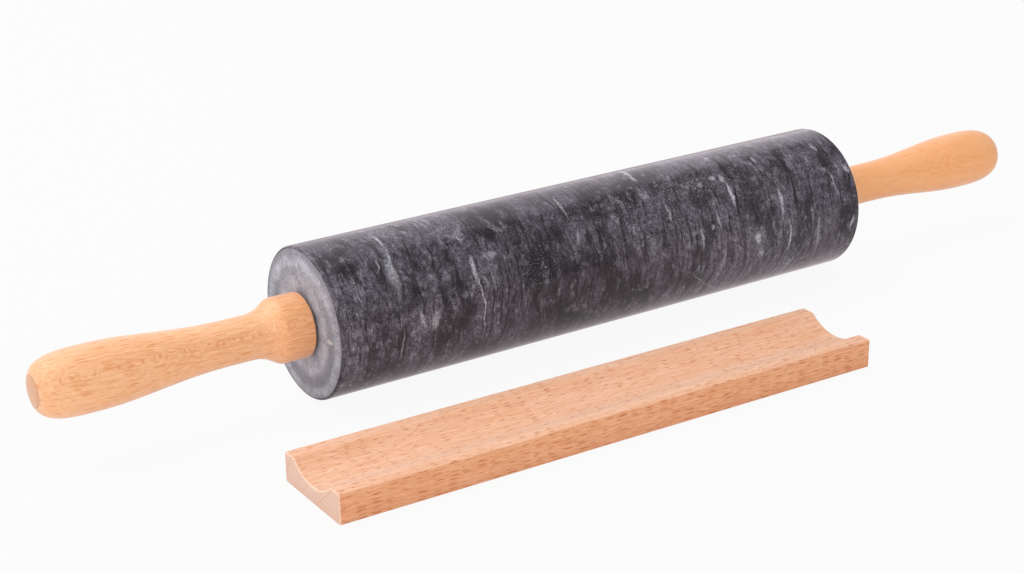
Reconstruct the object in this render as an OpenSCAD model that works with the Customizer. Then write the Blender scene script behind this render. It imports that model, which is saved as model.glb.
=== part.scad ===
// Marble rolling pin with two turned beech handles, and the beech cradle it is kept on.
// Millimetres. The pin lies along X on the surface z = 0, with its cradle in front of it.
// The marble barrel turns on two bushes over a tube. The tube is clamped between the handles
// by a rod and two nuts, so the handles stay still in the hands while the barrel rolls.

/* [Marble barrel] */
// Diameter of the barrel
barrel_d = 60; // [50:1:75]
// Length of the barrel
barrel_len = 254; // [200:1:320]
// Rounding of the barrel's outer edges
barrel_edge_r = 1; // [0.5:0.1:4]

/* [Axle and bushes] */
// Diameter of the steel rod
rod_d = 6; // [5:0.5:8]
// Outer diameter of the tube that the barrel turns on
tube_d = 10; // [9.5:0.5:12]
// Outer diameter of each bush, which sits in the marble's bore
bush_d = 14; // [13:0.5:18]
// Length of each bush
bush_len = 22; // [12:1:40]
// How far a bush's flange stands out all round
flange_w = 2.5; // [1:0.1:4]
// Thickness of a bush's flange
flange_t = 1.5; // [1:0.1:3]
// Space between the end of the barrel and a handle's collar
end_gap = 1; // [0.6:0.1:3]

/* [Handles] */
// Length of a handle
handle_len = 107; // [85:1:140]
// Diameter of the collar beside the marble
collar_d = 25.5; // [22:0.5:32]
// Length of the collar's straight part
collar_len = 10.7; // [6:0.1:20]
// Rounding of the collar's edge beside the marble
collar_edge_r = 1; // [0.3:0.1:3]
// Length of the cove between collar and neck
cove_len = 17; // [8:0.5:22]
// Diameter of the neck
neck_d = 17.3; // [15:0.1:20]
// Diameter of the grip at its widest
grip_d = 24.9; // [21:0.1:32]
// Length of the rounded end, from the widest place to the tip
crown_len = 23; // [14:1:35]

/* [Handle fastening] */
// Width of the nut across its flats
nut_af = 10; // [9:0.5:11]
// Height of the nut
nut_h = 5; // [4:0.5:7]
// Thickness of the washer under the nut
washer_t = 1.2; // [0.8:0.1:2]
// Length of the wooden plug in the handle's end
plug_len = 9; // [6:0.5:14]

/* [Cradle] */
// Length of the cradle
cradle_len = 235; // [180:1:300]
// Width of the cradle
cradle_w = 40; // [36:1:50]
// Height of the cradle
cradle_h = 11.5; // [9:0.5:20]
// Width of the trough between its lips
trough_w = 27.5; // [20:0.5:30]
// Radius of the trough
trough_r = 20.5; // [18:0.5:35]
// Rounding of the trough's lips
lip_r = 2.5; // [0.3:0.1:3]
// Rounding of the cradle's outer edges
cradle_edge_r = 0.8; // [0.3:0.1:2]

/* [Arrangement] */
// Free space between the barrel and the cradle
cradle_gap = 30.5; // [8:0.5:80]
// How far the cradle's middle lies to the left of the pin's middle
cradle_shift = 50; // [0:1:100]
// Turn of the cradle against the pin, in degrees
cradle_turn = 1; // [0:0.1:5]

/* [Clearances] */
// Radial clearance of the bushes on the tube
run_gap = 0.05; // [0.02:0.01:0.1]
// Radial clearance of what is pressed or glued in
seat_gap = 0.02; // [0.01:0.01:0.05]
// Radial clearance of the rod in the handles and the tube
slip_gap = 0.15; // [0.1:0.05:0.3]
// Play of the barrel towards each thrust washer
thrust_play = 0.15; // [0.1:0.05:0.3]
// Air round the nut's corners
nut_air = 0.3; // [0.2:0.05:0.6]

/* [Hidden] */
$fn = 120;

// Shape of the curves
cove_sweep = 5.5;   // a higher value draws the cove in sooner
swell_ease = 1.2;   // above 1 the grip swells later along the handle
crown_power = 3.5;  // 2 is an ellipse, and higher values are blunter
curve_steps = 18;
edge_steps = 6;

// The cradle's reach towards the viewer, turned, with its rounded corners
cradle_reach = (cradle_w / 2 - cradle_edge_r) * cos(cradle_turn)
             + (cradle_len / 2 - cradle_edge_r) * sin(cradle_turn) + cradle_edge_r;
cradle_off = barrel_d / 2 + cradle_gap + cradle_w / 2;

// The pin's axis, placed so that the origin is the middle of the whole on the surface
axis_y = (cradle_off + cradle_reach - barrel_d / 2) / 2;
axis_z = barrel_d / 2;

// Places along the axis, from the barrel's middle
barrel_end = barrel_len / 2;
collar_face = barrel_end + end_gap;
tip = collar_face + handle_len;

// Bores and seats
flange_d = bush_d + 2 * flange_w;
tube_bore_d = rod_d + 2 * slip_gap;
pocket_d = nut_af / cos(30) + 2 * nut_air;
plug_d = pocket_d - 2 * seat_gap;
washer_d = pocket_d - 2 * nut_air;
rod_past_nut = 1.5;
plug_air = 0.8;
thread_chamfer = 0.6;
rod_end = tip - plug_len - plug_air;
nut_seat = rod_end - rod_past_nut - nut_h;
washer_seat = nut_seat - washer_t;

// Trough: depth of the round cut and the height of its centre
trough_depth = trough_r - sqrt(pow(trough_r, 2) - pow(trough_w / 2, 2));
trough_z = cradle_h - trough_depth + trough_r;

// Points of an arc round c, from angle a0 to a1
function arc(c, r, a0, a1, n) =
    [for (i = [0 : n]) c + r * [cos(a0 + (a1 - a0) * i / n), sin(a0 + (a1 - a0) * i / n)]];

// Handle outline as [radius, distance from the collar's face]
function cove_fall(t) = pow(1 - t, cove_sweep) * (1 + cove_sweep * t);
function cove_point(t) =
    [(neck_d + (collar_d - neck_d) * cove_fall(t)) / 2, collar_len + cove_len * t];
function swell_rise(t) = (1 - cos(180 * pow(t, swell_ease))) / 2;
function swell_point(t) =
    [(neck_d + (grip_d - neck_d) * swell_rise(t)) / 2,
     collar_len + cove_len + (handle_len - collar_len - cove_len - crown_len) * t];
function crown_point(a) =
    [grip_d / 2 * pow(cos(a), 2 / crown_power),
     handle_len - crown_len + crown_len * pow(sin(a), 2 / crown_power)];
// The angle at which the crown has shrunk to diameter d
function crown_angle(d) = acos(pow(d / grip_d, crown_power / 2));

// Turns an outline about the pin's axis, with its foot at x
module turned(x) translate([x, axis_y, axis_z]) rotate([0, 90, 0]) rotate_extrude() children();

// A piece of the right end, and the same piece mirrored to the left end
module on_end(side) {
    if (side == "left") mirror([1, 0, 0]) children();
    else children();
}

// A flat ring between two places along the axis
module ring(x0, x1, bore, d) turned(x0)
    translate([bore / 2, 0]) square([(d - bore) / 2, x1 - x0]);

module marble_barrel() color([0.25, 0.24, 0.26]) {
    r = barrel_d / 2;
    e = barrel_edge_r;
    bore_r = bush_d / 2 + seat_gap;
    seat_r = flange_d / 2 + seat_gap;
    turned(-barrel_end) polygon(concat(
        [[bore_r, flange_t], [seat_r, flange_t], [seat_r, 0]],
        arc([r - e, e], e, -90, 0, edge_steps),
        arc([r - e, barrel_len - e], e, 0, 90, edge_steps),
        [[seat_r, barrel_len], [seat_r, barrel_len - flange_t], [bore_r, barrel_len - flange_t]]));
}

module bush(side) color([0.93, 0.92, 0.88]) on_end(side) {
    bore_r = tube_d / 2 + run_gap;
    turned(barrel_end - bush_len) polygon([
        [bore_r, 0], [bush_d / 2, 0], [bush_d / 2, bush_len - flange_t],
        [flange_d / 2, bush_len - flange_t], [flange_d / 2, bush_len], [bore_r, bush_len]]);
}

module axle_tube() color([0.72, 0.73, 0.75]) ring(-collar_face, collar_face, tube_bore_d, tube_d);

module axle_rod() color([0.66, 0.67, 0.7]) {
    c = thread_chamfer;
    turned(-rod_end) polygon([
        [0, 0], [rod_d / 2 - c, 0], [rod_d / 2, c], [rod_d / 2, 2 * rod_end - c],
        [rod_d / 2 - c, 2 * rod_end], [0, 2 * rod_end]]);
}

module thrust_washer(side) color([0.93, 0.92, 0.88]) on_end(side)
    ring(barrel_end + thrust_play, collar_face, tube_d + 2 * slip_gap, flange_d);

module handle(side) color([0.93, 0.7, 0.5]) on_end(side) {
    bore_r = rod_d / 2 + slip_gap;
    seat = washer_seat - collar_face;
    crown_end = crown_angle(pocket_d);
    turned(collar_face) polygon(concat(
        [[bore_r, seat], [bore_r, 0]],
        arc([collar_d / 2 - collar_edge_r, collar_edge_r], collar_edge_r, -90, 0, edge_steps),
        [for (i = [0 : curve_steps]) cove_point(i / curve_steps)],
        [for (i = [1 : curve_steps]) swell_point(i / curve_steps)],
        [for (i = [1 : curve_steps]) crown_point(crown_end * i / curve_steps)],
        [[pocket_d / 2, seat]]));
}

module washer(side) color([0.78, 0.78, 0.8]) on_end(side)
    ring(washer_seat, nut_seat, rod_d + 2 * slip_gap, washer_d);

module nut(side) color([0.7, 0.71, 0.74]) on_end(side)
    translate([nut_seat, axis_y, axis_z]) rotate([0, 90, 0]) difference() {
        cylinder(h = nut_h, d = nut_af / cos(30), $fn = 6);
        translate([0, 0, -1]) cylinder(h = nut_h + 2, d = rod_d + 2 * seat_gap);
    }

module end_plug(side) color([0.9, 0.68, 0.52]) on_end(side) {
    foot = handle_len - plug_len;
    from = crown_angle(plug_d);
    turned(collar_face) polygon(concat(
        [[0, foot], [plug_d / 2, foot]],
        [for (i = [0 : edge_steps]) crown_point(from + (90 - from) * i / edge_steps)]));
}

// What comes off a square edge at the origin, whose material lies towards -X and -Y
module edge_waste(r) translate([-r, -r]) difference() {
    square(2 * r);
    circle(r);
}

// What comes off a lip, where the trough's arc meets the land
module lip_waste() {
    seat = [sqrt(pow(trough_r + lip_r, 2) - pow(trough_z + lip_r - cradle_h, 2)), cradle_h - lip_r];
    aim = ([0, trough_z] - seat) / norm([0, trough_z] - seat);
    reach = 2 * lip_r;
    difference() {
        polygon([seat, seat + reach * [0, 1], seat + reach * (aim + [0, 1]), seat + reach * aim]);
        translate(seat) circle(lip_r);
    }
}

module cradle_section() difference() {
    translate([-cradle_w / 2, 0]) square([cradle_w, cradle_h]);
    translate([0, trough_z]) circle(trough_r);
    for (flip = [0, 1]) mirror([flip, 0]) {
        lip_waste();
        translate([cradle_w / 2, cradle_h]) edge_waste(cradle_edge_r);
        translate([cradle_w / 2, 0]) mirror([0, 1]) edge_waste(cradle_edge_r);
    }
}

module cradle_plan() difference() {
    square([cradle_len, cradle_w], center = true);
    for (x = [0, 1], y = [0, 1]) mirror([x, 0]) mirror([0, y])
        translate([cradle_len / 2, cradle_w / 2]) edge_waste(cradle_edge_r);
}

module cradle() color([0.95, 0.76, 0.6])
    translate([-cradle_shift, axis_y - cradle_off, 0]) rotate([0, 0, -cradle_turn])
        intersection() {
            translate([-cradle_len / 2, 0, 0]) rotate([90, 0, 90])
                linear_extrude(cradle_len) cradle_section();
            linear_extrude(cradle_h) cradle_plan();
        }

marble_barrel();
bush("left");  // left_bush
bush("right");  // right_bush
axle_tube();
axle_rod();
thrust_washer("left");  // left_thrust_washer
thrust_washer("right");  // right_thrust_washer
handle("left");  // left_handle
handle("right");  // right_handle
washer("left");  // left_washer
washer("right");  // right_washer
nut("left");  // left_nut
nut("right");  // right_nut
end_plug("left");  // left_end_plug
end_plug("right");  // right_end_plug
cradle();
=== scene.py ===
"""Looks of a marble rolling pin with turned beech handles, and of the beech cradle beside it.

Each sub-assembly is a class that holds its sizes, builds its meshes and dresses them, and each
finish is a class that writes one material. Metres throughout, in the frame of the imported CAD
model: the pin lies along X on the surface z = 0, and the cradle lies in front of it.
"""

import logging
import math
from dataclasses import dataclass, field
from enum import Enum

import bmesh
import bpy
from mathutils import Matrix, Vector


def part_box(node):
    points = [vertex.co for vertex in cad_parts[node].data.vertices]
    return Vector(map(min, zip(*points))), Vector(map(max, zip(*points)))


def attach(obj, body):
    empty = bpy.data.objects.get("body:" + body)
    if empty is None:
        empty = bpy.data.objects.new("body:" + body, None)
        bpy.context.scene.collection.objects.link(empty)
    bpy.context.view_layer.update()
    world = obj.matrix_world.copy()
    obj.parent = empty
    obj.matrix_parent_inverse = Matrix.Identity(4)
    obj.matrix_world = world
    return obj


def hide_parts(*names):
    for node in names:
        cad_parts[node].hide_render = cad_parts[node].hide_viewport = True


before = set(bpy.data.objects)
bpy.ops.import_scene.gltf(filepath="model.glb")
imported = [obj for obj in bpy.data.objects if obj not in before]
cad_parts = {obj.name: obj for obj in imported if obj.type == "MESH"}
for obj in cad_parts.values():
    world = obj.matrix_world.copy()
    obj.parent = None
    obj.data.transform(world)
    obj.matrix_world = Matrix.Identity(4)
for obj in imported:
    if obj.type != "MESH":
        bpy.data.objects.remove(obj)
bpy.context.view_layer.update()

MM = 0.001
MERGE_DISTANCE = 0.001 * MM
SMOOTH_BELOW = math.radians(32)

Colour = tuple[float, float, float]
Size = tuple[float, float, float]
Source = bpy.types.NodeSocket | float | tuple[float, ...]
Outline = list[tuple[float, float]]

log = logging.getLogger("rolling_pin")


def mm(x: float, y: float | None = None, z: float | None = None) -> Size:
    """A size given in millimetres, where one number stands for all three."""
    return (x * MM, (x if y is None else y) * MM, (x if z is None else z) * MM)


class Side(Enum):
    """The two ends of the pin, each with the direction in which it lies along X."""

    LEFT = -1
    RIGHT = 1

    def node(self, part: str) -> str:
        """Name of the CAD node of a part that both ends have."""
        return f"{self.name.lower()}_{part}"


class Slot(Enum):
    """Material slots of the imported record."""

    MARBLE = "polished_marble"
    TURNED_WOOD = "turned_beech"
    PLANED_WOOD = "planed_beech"
    STEEL = "bright_steel"
    NYLON = "white_nylon"


class NodeSheet:
    """Writes the node tree of one material, with pattern sizes as real sizes in metres."""

    def __init__(self, name: str) -> None:
        """Starts a material that holds one principled shader.

        Args:
            name: Name of the material.
        """
        self.material = bpy.data.materials.new(name)
        self.material.use_nodes = True
        self.tree = self.material.node_tree
        self.shader = self.tree.nodes["Principled BSDF"]
        self.place = self.node("TexCoord", {}, "Object")

    @classmethod
    def of_world(cls, world: bpy.types.World) -> "NodeSheet":
        """A sheet that writes the world's own node tree.

        Args:
            world: The world.

        Returns:
            The sheet.
        """
        sheet = cls.__new__(cls)
        sheet.tree = world.node_tree
        return sheet

    def node(self, kind: str, inputs: dict[int | str, Source], out: int | str = 0,
             **settings: object) -> bpy.types.NodeSocket:
        """Adds a shader node, fills its inputs and gives one of its outputs.

        Args:
            kind: Type of the node, without the ShaderNode prefix.
            inputs: Value or socket for each input, by name or number.
            out: Output to return, by name or number.
            **settings: Properties of the node.

        Returns:
            The output socket.
        """
        added = self.tree.nodes.new("ShaderNode" + kind)
        for key, value in settings.items():
            setattr(added, key, value)
        for key, value in inputs.items():
            self.feed(value, added.inputs[key])
        return added.outputs[out]

    def feed(self, source: Source, target: bpy.types.NodeSocket) -> None:
        """Links a socket to an input, or writes a plain value into it.

        Args:
            source: Socket or value.
            target: Input that takes it.
        """
        if isinstance(source, bpy.types.NodeSocket):
            self.tree.links.new(source, target)
        elif target.type == "RGBA" and len(source) == 3:
            target.default_value = (*source, 1.0)
        else:
            target.default_value = source

    def set(self, **values: Source) -> None:
        """Fills inputs of the principled shader, named with underscores for spaces.

        Args:
            **values: Value or socket for each input.
        """
        for name, value in values.items():
            wanted = name.replace("_", " ").lower()
            target = next(s for s in self.shader.inputs if s.name.lower() == wanted)
            self.feed(value, target)

    def math(self, operation: str, *values: Source) -> bpy.types.NodeSocket:
        """Result of a math node on one to three values."""
        return self.node("Math", dict(enumerate(values)), operation=operation)

    def times(self, first: Source, second: Source) -> bpy.types.NodeSocket:
        """Product of two numbers."""
        return self.math("MULTIPLY", first, second)

    def vector(self, operation: str, *values: Source) -> bpy.types.NodeSocket:
        """Result of a vector math node on one or two vectors."""
        return self.node("VectorMath", dict(enumerate(values)), operation=operation)

    def parts(self, vector: Source) -> bpy.types.NodeOutputs:
        """The X, Y and Z parts of a vector."""
        return self.node("SeparateXYZ", {0: vector}).node.outputs

    def part(self, vector: Source, axis: int) -> bpy.types.NodeSocket:
        """The part of a vector along one axis, numbered from X."""
        return self.parts(vector)[axis]

    def facing(self, axis: int) -> bpy.types.NodeSocket:
        """How far the surface faces along one axis of the piece, from -1 to 1."""
        return self.part(self.node("TexCoord", {}, "Normal"), axis)

    def length(self, vector: Source) -> bpy.types.NodeSocket:
        """Length of a vector."""
        return self.node("VectorMath", {0: vector}, "Value", operation="LENGTH")

    def scaled(self, size: Size, place: Source | None = None, centre: Size = (0, 0, 0),
               turn: Size = (0, 0, 0)) -> bpy.types.NodeSocket:
        """Coordinates that grow by one over the given size along each axis.

        Args:
            size: Length of one unit of the pattern along X, Y and Z.
            place: Coordinates in metres, or None for the object's own.
            centre: Point that becomes the pattern's origin.
            turn: Angles by which the pattern is turned about that point.

        Returns:
            The coordinates of the pattern.
        """
        start = self.place if place is None else place
        values = {"Vector": start, "Location": centre, "Rotation": turn, "Scale": size}
        return self.node("Mapping", values, vector_type="TEXTURE")

    def noise(self, coordinates: Source, detail: float = 2.0, roughness: float = 0.5,
              out: str = "Fac") -> bpy.types.NodeSocket:
        """Smooth noise whose lumps are about one unit of the coordinates."""
        values = {"Vector": coordinates, "Scale": 1.0, "Detail": detail, "Roughness": roughness}
        return self.node("TexNoise", values, out)

    def cloud(self, size: Size, place: Source | None = None, detail: float = 2.0,
              roughness: float = 0.5, out: str = "Fac") -> bpy.types.NodeSocket:
        """Smooth noise whose lumps have the given size in metres."""
        return self.noise(self.scaled(size, place), detail, roughness, out)

    def warped(self, place: Source, size: Size, reach: Size) -> bpy.types.NodeSocket:
        """Coordinates pushed about by noise.

        Args:
            place: Coordinates in metres.
            size: Size of the noise along each axis.
            reach: How far the noise pushes along each axis.

        Returns:
            The pushed coordinates, in metres.
        """
        cloud = self.cloud(size, place, out="Color")
        push = self.vector("SUBTRACT", cloud, (0.5, 0.5, 0.5))
        return self.vector("ADD", place, self.vector("MULTIPLY", push, reach))

    def polar(self, place: Source) -> tuple[bpy.types.NodeSocket, bpy.types.NodeSocket]:
        """Distance from the X axis, and the angle round it from -Y towards +Z.

        Args:
            place: Coordinates in metres.

        Returns:
            The distance in metres and the angle in radians.
        """
        across = self.vector("MULTIPLY", place, (0, 1, 1))
        radius = self.length(across)
        parts = self.parts(place)
        return radius, self.math("ARCTAN2", parts[2], self.times(parts[1], -1.0))

    def step(self, value: Source, low: float, high: float, start: float = 0.0,
             end: float = 1.0) -> bpy.types.NodeSocket:
        """Smooth step from start to end while the value goes from low to high."""
        values = {"Value": value, "From Min": low, "From Max": high, "To Min": start, "To Max": end}
        return self.node("MapRange", values, interpolation_type="SMOOTHSTEP")

    def mix(self, amount: Source, first: Source, second: Source,
            blend: str = "MIX") -> bpy.types.NodeSocket:
        """Colour between the first and the second, mixed in the given way."""
        values = {0: amount, 6: first, 7: second}
        return self.node("Mix", values, 2, data_type="RGBA", blend_type=blend)

    def lerp(self, amount: Source, first: Source, second: Source) -> bpy.types.NodeSocket:
        """Number between the first and the second."""
        return self.node("Mix", {0: amount, 2: first, 3: second}, 0, data_type="FLOAT")

    def tinted(self, colour: Source, tint: Source) -> bpy.types.NodeSocket:
        """Colour multiplied by a tint."""
        return self.mix(1.0, colour, tint, "MULTIPLY")

    def shade(self, colour: Source, value: Source) -> bpy.types.NodeSocket:
        """Colour made lighter or darker by a factor."""
        return self.tinted(colour, self.node("CombineXYZ", {0: value, 1: value, 2: value}))

    def bump(self, height: Source, depth: float, under: Source | None = None) -> bpy.types.NodeSocket:
        """Normal of a relief.

        Args:
            height: Pattern of the relief, from 0 to 1.
            depth: Depth of the relief in metres.
            under: Normal of a coarser relief that carries this one.

        Returns:
            The normal.
        """
        values = {"Height": height, "Distance": depth, "Strength": 1.0}
        if under is not None:
            values["Normal"] = under
        return self.node("Bump", values)


@dataclass(frozen=True)
class Mark:
    """A white mark in the side of the barrel, drawn out round it.

    Attributes:
        x: Place along the pin, in millimetres from its middle.
        angle: Place round the pin, in degrees from the front towards the top.
        width: Width along the pin, in millimetres.
        length: Length round the pin, in millimetres.
        lean: Angle between the mark and the direction round the pin, in degrees.
        strength: How white the mark is, from 0 to 1.
    """

    x: float
    angle: float
    width: float
    length: float
    lean: float = 0.0
    strength: float = 1.0


VEINS = tuple(Mark(*row) for row in (
    (-65.0, 8, 0.7, 37, 1.5, 0.9), (-66.2, 34, 2.6, 12, -3, 0.85), (-67.0, 61, 1.6, 5, 0, 0.5),
    (-97.5, 78, 1.4, 13, 2, 0.8), (-98.5, 52, 1.6, 18, -8, 0.7), (-99.8, 46, 5.5, 15, 0, 0.5),
    (-104.0, 54, 1.2, 9, -14, 0.5), (-84.5, 94, 1.4, 7, 0, 0.6), (-101.0, -10, 1.0, 15, -3, 0.5),
    (-92.0, 6, 2.4, 8, 12, 0.6), (-86.5, 3, 3.6, 9, -10, 0.6), (-75.0, 84, 1.3, 12, 4, 0.3),
    (-57.0, 41, 4.5, 3, 0, 0.5), (-17.0, 68, 1.2, 16, -3, 0.6), (-16.0, 38, 1.1, 9, -14, 0.4),
    (24.3, 90, 1.8, 18, -4, 0.9), (28.5, 38, 1.0, 14, 0, 0.5), (42.0, 14, 1.2, 10, 0, 0.7),
    (47.2, 20, 2.0, 3, 0, 0.8), (51.0, 24, 1.0, 10, 0, 0.6), (52.5, -10, 2.4, 14, -6, 0.45),
    (61.8, 42, 2.0, 14, -4, 1.0), (61.5, 57, 2.6, 5, 0, 0.8), (64.0, 84, 3.0, 6, 0, 0.5),
    (70.5, 2, 3.6, 6, 10, 1.0), (73.5, -12, 3.0, 5, 16, 0.5), (82.5, 68, 2.0, 5, -6, 0.7),
    (85.2, 28, 1.8, 16, -6, 0.8), (88.0, -4, 1.6, 15, -2, 0.8), (92.0, -34, 1.6, 13, -14, 0.6),
    (104.0, -8, 1.2, 20, 3, 0.5), (115.5, 30, 1.1, 13, 12, 0.6), (115.5, 67, 2.2, 6, 0, 0.6),
    (124.0, 40, 2.6, 5, 30, 0.9), (122.5, -5, 2.0, 7, -10, 0.7), (88.5, 90, 2.4, 5, 0, 0.5),
    (46.0, -29, 0.5, 36, 52, 0.55), (57.0, 60, 3.4, 2.6, 0, 0.7), (50.0, 56, 4.0, 3, 30, 0.5),
))
DARK_SPOTS = tuple(Mark(*row) for row in (
    (-30, 20, 70, 170, 0, 0.32), (-29, -14, 12, 24, 0, 0.7), (-26, 44, 6, 18, 0, 0.5),
    (-50.5, 36, 5, 12, 0, 0.55), (-8.5, 52, 7, 10, 0, 0.7), (5.5, 17, 5, 10, 0, 0.65),
    (4.5, -7, 2.4, 22, 0, 0.6), (6.5, 40, 1.6, 20, -4, 0.8), (12, 15, 1.5, 26, 3, 0.7),
    (-5.5, 40, 1.3, 24, 0, 0.7), (45, 41, 7, 8, 0, 0.5), (82, 45, 5, 14, 62, 0.6),
    (46, 72, 10, 7, 0, 0.5), (-71.5, 4, 4, 8, 0, 0.6), (-42, 50, 1.4, 15, -5, 0.7),
    (-53.5, -15, 1.4, 22, 2, 0.6), (-57.5, 4, 1.2, 14, 0, 0.6), (-13.5, 32, 1.3, 13, -22, 0.7),
    (111, 30, 1.4, 18, 8, 0.6), (122, 26, 8, 12, 0, 0.6), (-81, 18, 1.3, 11, -10, 0.6),
    (-87, -12, 1.6, 18, 35, 0.6), (19, -22, 15, 7, 0, 0.55), (31, -3, 1.8, 12, 0, 0.6),
    (-20, -5, 1.3, 13, 3, 0.6), (-112, 20, 6, 20, 0, 0.5), (-77, 62, 2.6, 7, 0, 0.6),
    (70, 22, 8, 9, 20, 0.45), (-116, 56, 9, 8, 0, 0.6),
))
PALE_CLOUDS = tuple(Mark(*row) for row in (
    (65, 20, 90, 150, 0, 0.16), (-90, 6, 13, 14, 0, 0.45), (-13, 36, 10, 14, -8, 0.35),
    (39, 52, 8, 8, 20, 0.4), (73, -4, 9, 18, 8, 0.4), (86, 28, 8, 18, -8, 0.35),
    (104, -8, 4, 26, 4, 0.4), (-99, 44, 9, 18, 0, 0.4), (-59, 40, 11, 8, 0, 0.3),
))
SPARKLES = tuple(Mark(*row) for row in (
    (48, 57, 40, 12, 0, 1.0), (14, 42, 36, 34, 0, 0.8), (-38, 22, 26, 22, 0, 0.6),
    (-90, 8, 18, 14, 0, 0.9), (86, 26, 12, 26, 0, 0.8), (62, 50, 10, 20, 0, 0.8),
    (-16, 60, 10, 22, 0, 0.7), (72, 0, 12, 16, 0, 0.8),
))


@dataclass(frozen=True)
class ThreadSize:
    """One size of the dark threads in the stone.

    Attributes:
        gap: Mean distance between them along the pin, in millimetres.
        reach: How far one runs before it may end, in millimetres.
        width: Half the width of one at its widest, with its soft sides, in millimetres.
    """

    gap: float
    reach: float
    width: float


THREADS = (ThreadSize(8.0, 23, 2.1), ThreadSize(5.0, 13, 1.1), ThreadSize(3.0, 8, 0.5))


@dataclass(frozen=True)
class DarkMarble:
    """Charcoal marble with thin wavy beds across the pin, dark threads and pale haze.

    Attributes:
        name: Name of the material.
        centre: The middle of the barrel.
        radius: Radius of the barrel.
        deep: Colour of the darkest beds.
        body: Colour of the plain stone.
        haze: Colour of the pale clouds.
        vein: Colour of the white veins.
        tilt: Angles by which the beds are turned from square across the pin.
        thread_share: How dark the threads are, from 0 to 1.
    """

    name: str
    centre: Size
    radius: float
    deep: Colour = (0.0108, 0.0078, 0.0098)
    body: Colour = (0.0785, 0.0686, 0.0858)
    haze: Colour = (0.200, 0.192, 0.221)
    vein: Colour = (0.60, 0.595, 0.65)
    tilt: Size = (0.0, math.radians(2), math.radians(-3))
    thread_share: float = 0.85

    def stone(self, sheet: NodeSheet, clouds: Source = 0.0) -> bpy.types.NodeSocket:
        """Writes the pattern of the stone.

        Args:
            sheet: The material that takes it.
            clouds: How much extra haze there is, from 0 to 1.

        Returns:
            The colour of the stone.
        """
        level = sheet.scaled((1, 1, 1), centre=self.centre, turn=self.tilt)
        folded = sheet.warped(level, mm(40, 45, 45), mm(7, 6, 6))
        curved = sheet.warped(folded, mm(10, 14, 14), mm(3.4, 2.4, 2.4))
        flow = sheet.warped(curved, mm(2.6, 3.4, 3.4), mm(1.2, 0.9, 0.9))
        colour = self.beds(sheet, flow, folded, clouds)
        for size in THREADS:
            colour = self.threads(sheet, curved, colour, size)
        grain = sheet.cloud(mm(0.65), sheet.place, 4.0, 0.85)
        return sheet.shade(colour, sheet.step(grain, 0.30, 0.70, 0.16, 1.92))

    def beds(self, sheet: NodeSheet, flow: Source, folded: Source,
             clouds: Source) -> bpy.types.NodeSocket:
        """Writes the clouds and the thin beds.

        Args:
            sheet: The material that takes them.
            flow: Coordinates with coarse and fine folds.
            folded: Coordinates with coarse folds only.
            clouds: How much extra haze there is, from 0 to 1.

        Returns:
            The colour of the plain stone.
        """
        cloud = sheet.cloud(mm(13, 22, 22), folded, 3.0, 0.55)
        colour = sheet.mix(sheet.step(cloud, 0.39, 0.57, 0.10, 1.0), self.deep, self.body)
        pale = sheet.cloud(mm(4.2, 6.4, 6.4), flow, 4.0, 0.74)
        colour = sheet.mix(sheet.step(pale, 0.47, 0.74, 0.0, 0.95), colour, self.haze)
        colour = sheet.mix(clouds, colour, self.haze)
        streak = sheet.cloud(mm(1.4, 2.3, 2.3), flow, 3.0, 0.7)
        return sheet.shade(colour, sheet.step(streak, 0.28, 0.74, 0.53, 1.54))

    def threads(self, sheet: NodeSheet, curved: Source, ground: Source,
                size: ThreadSize) -> bpy.types.NodeSocket:
        """Draws thin dark threads that run round the pin, each for a short way.

        Args:
            sheet: The material that takes them.
            curved: Coordinates with coarse folds and smooth curves.
            ground: Colour of the beds.
            size: Size of the threads.

        Returns:
            The colour with the threads.
        """
        gap, reach, width = size.gap * MM, size.reach * MM, size.width * MM
        bent = sheet.warped(curved, (reach, reach, reach), (0.9 * gap, 0, 0))
        lane = sheet.math("DIVIDE", sheet.part(bent, 0), gap)
        apart = sheet.node("TexVoronoi", {"W": lane, "Scale": 1.0}, 0, voronoi_dimensions="1D",
                           feature="DISTANCE_TO_EDGE")
        place = sheet.cloud((gap, reach, reach), curved, 4.0, 0.65)
        room = sheet.step(place, 0.44, 0.68, 0.1 * width / gap, width / gap)
        line = sheet.step(sheet.math("DIVIDE", apart, room), 1.0, 0.15)
        depth = sheet.times(line, sheet.step(place, 0.44, 0.60, 0.0, self.thread_share))
        return sheet.mix(depth, ground, self.deep)


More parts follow.
